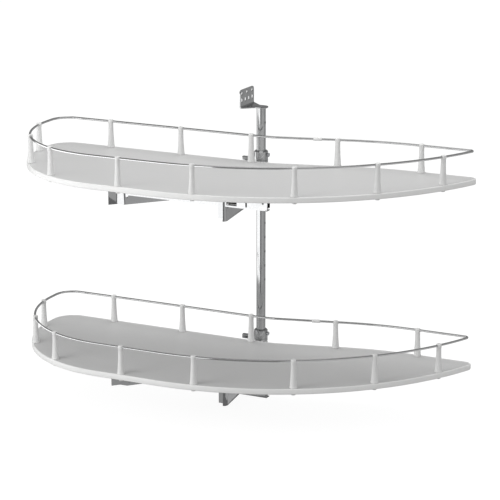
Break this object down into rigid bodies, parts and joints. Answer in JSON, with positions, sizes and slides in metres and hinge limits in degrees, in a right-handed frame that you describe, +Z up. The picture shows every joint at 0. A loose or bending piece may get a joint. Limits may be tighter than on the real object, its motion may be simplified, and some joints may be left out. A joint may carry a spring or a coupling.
{
  "type": "blind corner pull out",
  "caption": "Column with kidney-shaped wire-fenced trays for a blind corner cupboard; each tray swings out on a hub frame and then pulls forward on a ball slide.",
  "frame": {"origin": "column axis at the underside of the foot plate", "axes": "+Z up along the column, +X along the slides towards the tray tips, +Y out of the cabinet"},
  "size_m": [0.9732, 0.4055, 0.672],
  "materials": {
    "chromed_steel": "bright chrome plate",
    "bright_steel": "zinc plated",
    "tray_board": "light grey melamine faced board",
    "edge_trim": "satin white moulding",
    "white_plastic": "satin white moulding",
    "black_plastic": "matt black moulding"
  },
  "bodies": {
    "column": {"column_tube": "chromed_steel", "foot_plate": "chromed_steel", "top_plug": "black_plastic", "top_bracket": "chromed_steel", "top_screw": "bright_steel", "upper_support_collar": "chromed_steel", "lower_support_collar": "chromed_steel", "upper_keeper_collar": "chromed_steel", "lower_keeper_collar": "chromed_steel", "collar_screws": "bright_steel"},
    "upper_frame": {"upper_hub": "chromed_steel", "upper_bushes": "white_plastic", "upper_long_arm": "chromed_steel", "upper_short_arm": "chromed_steel", "upper_outer_rail": "chromed_steel", "upper_rivets": "bright_steel", "upper_rail_stops": "black_plastic", "upper_glides": "black_plastic"},
    "upper_cage": {"upper_ball_cage": "black_plastic", "upper_balls": "bright_steel"},
    "upper_tray": {"upper_inner_rail": "chromed_steel", "upper_angle": "chromed_steel", "upper_angle_screws": "bright_steel", "upper_board": "tray_board", "upper_edge_trim": "edge_trim", "upper_posts": "white_plastic", "upper_post_caps": "white_plastic", "upper_wire": "chromed_steel", "upper_wire_sleeve": "white_plastic"},
    "lower_frame": {"lower_hub": "chromed_steel", "lower_bushes": "white_plastic", "lower_long_arm": "chromed_steel", "lower_short_arm": "chromed_steel", "lower_outer_rail": "chromed_steel", "lower_rivets": "bright_steel", "lower_rail_stops": "black_plastic", "lower_glides": "black_plastic"},
    "lower_cage": {"lower_ball_cage": "black_plastic", "lower_balls": "bright_steel"},
    "lower_tray": {"lower_inner_rail": "chromed_steel", "lower_angle": "chromed_steel", "lower_angle_screws": "bright_steel", "lower_board": "tray_board", "lower_edge_trim": "edge_trim", "lower_posts": "white_plastic", "lower_post_caps": "white_plastic", "lower_wire": "chromed_steel", "lower_wire_sleeve": "white_plastic"}
  },
  "joints": [
    {"name": "upper_swing", "type": "hinge", "parent": "column", "child": "upper_frame", "pos_m": [0, 0, 0.478], "axis": [0, 0, 1], "range_deg": [0, 90]},
    {"name": "upper_pull", "type": "slide", "parent": "upper_frame", "child": "upper_tray", "axis": [1, 0, 0], "range_m": [0, 0.24]},
    {"name": "upper_cage_run", "type": "slide", "parent": "upper_frame", "child": "upper_cage", "axis": [1, 0, 0], "range_m": [0, 0.12]},
    {"name": "lower_swing", "type": "hinge", "parent": "column", "child": "lower_frame", "pos_m": [0, 0, 0.073], "axis": [0, 0, 1], "range_deg": [0, 90]},
    {"name": "lower_pull", "type": "slide", "parent": "lower_frame", "child": "lower_tray", "axis": [1, 0, 0], "range_m": [0, 0.24]},
    {"name": "lower_cage_run", "type": "slide", "parent": "lower_frame", "child": "lower_cage", "axis": [1, 0, 0], "range_m": [0, 0.12]}
  ],
  "couplings": [
    {"joint": "upper_cage_run", "follows": "upper_pull", "ratio": 0.5},
    {"joint": "lower_cage_run", "follows": "lower_pull", "ratio": 0.5}
  ]
}
